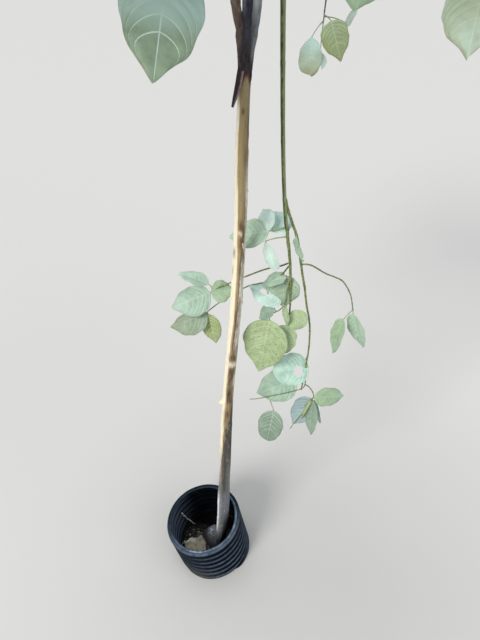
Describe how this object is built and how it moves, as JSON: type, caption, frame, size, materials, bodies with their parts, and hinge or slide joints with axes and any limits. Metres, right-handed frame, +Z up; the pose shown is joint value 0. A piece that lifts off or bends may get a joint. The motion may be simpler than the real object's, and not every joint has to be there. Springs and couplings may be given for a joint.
{
  "type": "dogwood sapling",
  "caption": "Young dogwood tree with a leaning, rubbed trunk, forked limbs, tiers of broad leaves, a hanging leafy shoot, and a short ribbed plastic collar round its foot",
  "frame": {"origin": "middle of the flat cut under the trunk, at ground level", "axes": "+Z up; +X to the right and +Y away from the viewer in the picture"},
  "size_m": [0.9848, 0.9275, 2.0984],
  "materials": {
    "bare_wood": "matt, bark rubbed off",
    "bark": "matt, thin grey bark",
    "green_stem": "satin, young green bark",
    "leaves": "matt",
    "collar": "satin, dusty",
    "soil": "rough"
  },
  "bodies": {
    "root": {"trunk": "bare_wood", "limb_left": "bark", "limb_leader": "bark", "limb_right": "bark", "bough_front": "bark", "bough_back": "bark", "bough_left_front": "bark", "bough_left_back": "bark", "bough_right_front": "bark", "bough_right_back": "bark", "bough_upper_left": "bark", "bough_upper_right": "bark", "bough_upper_front": "bark", "bough_upper_back": "bark", "bough_low_left": "bark", "bough_low_right": "bark", "bough_low_back": "bark", "bough_arch": "green_stem", "bough_hanging": "green_stem", "shoot_middle": "green_stem", "shoot_left": "green_stem", "shoot_right": "green_stem", "shoot_foot": "green_stem", "foliage_top": "leaves", "foliage_upper_left": "leaves", "foliage_upper_right": "leaves", "foliage_upper_front": "leaves", "foliage_upper_back": "leaves", "foliage_left": "leaves", "foliage_right": "leaves", "foliage_front": "leaves", "foliage_back": "leaves", "foliage_left_front": "leaves", "foliage_left_back": "leaves", "foliage_right_front": "leaves", "foliage_right_back": "leaves", "foliage_low_left": "leaves", "foliage_low_right": "leaves", "foliage_low_back": "leaves", "foliage_hanging_node": "leaves", "foliage_hanging_middle": "leaves", "foliage_hanging_left": "leaves", "foliage_hanging_right": "leaves", "foliage_hanging_foot": "leaves", "collar": "collar", "soil": "soil"}
  },
  "joints": []
}
